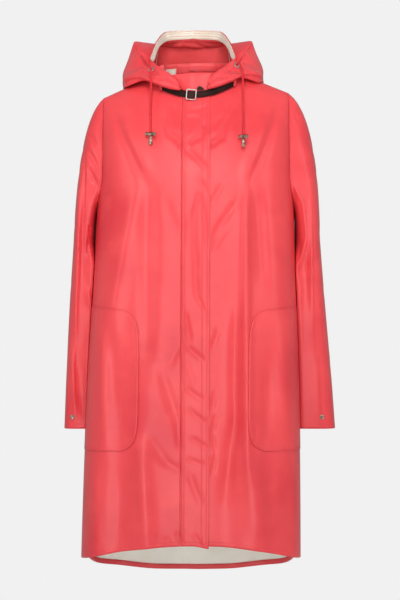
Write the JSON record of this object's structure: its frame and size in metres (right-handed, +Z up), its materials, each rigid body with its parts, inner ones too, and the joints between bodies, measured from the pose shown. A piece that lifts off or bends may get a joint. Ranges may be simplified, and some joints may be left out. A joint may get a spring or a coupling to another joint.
{
  "type": "raincoat, hooded, knee length, filled out with no wearer",
  "caption": "Knee-length hooded raincoat in coated cloth, with a strap and buckle at the neck, drawcords in the hood and large patch pockets.",
  "frame": {"origin": "middle of the neck opening, level with the neck ends of the shoulder seams, where the wearer holds the coat", "axes": "+Z up along the coat's length, -Y towards the front, +X towards the wearer's left"},
  "size_m": [0.529, 0.3184, 1.0853],
  "materials": {
    "coated_cloth": "smooth coated cloth with a soft wet sheen, coral red outside and pale inside",
    "pale_tape": "matt woven tape",
    "strap_leather": "smooth, slightly glossy",
    "bright_metal": "polished nickel",
    "aged_metal": "brushed, aged",
    "cord": "braided round cord"
  },
  "bodies": {
    "root": {"front_panel_right": "coated_cloth", "front_panel_left": "coated_cloth", "front_strip": "coated_cloth", "back_panel": "coated_cloth", "back_hem_turnup": "coated_cloth", "pocket_right": "coated_cloth", "pocket_left": "coated_cloth", "sleeve_right": "coated_cloth", "sleeve_left": "coated_cloth", "hood_side_right": "coated_cloth", "hood_side_left": "coated_cloth", "hood_centre": "coated_cloth", "hood_tunnel_tape": "pale_tape", "neck_stand": "coated_cloth", "neck_tape": "coated_cloth", "neck_label": "pale_tape", "hanger_loop": "coated_cloth", "neck_strap_right": "strap_leather", "neck_strap_left": "strap_leather", "neck_strap_tip": "strap_leather", "neck_strap_tab": "strap_leather", "strap_keeper_right": "coated_cloth", "strap_keeper_left": "coated_cloth", "buckle_frame": "bright_metal", "eyelet_right": "bright_metal", "eyelet_left": "bright_metal", "drawcord_right": "cord", "drawcord_left": "cord", "toggle_right": "aged_metal", "toggle_left": "aged_metal", "toggle_end_right": "aged_metal", "toggle_end_left": "aged_metal", "cuff_stud_right": "aged_metal", "cuff_stud_left": "aged_metal"}
  },
  "joints": []
}
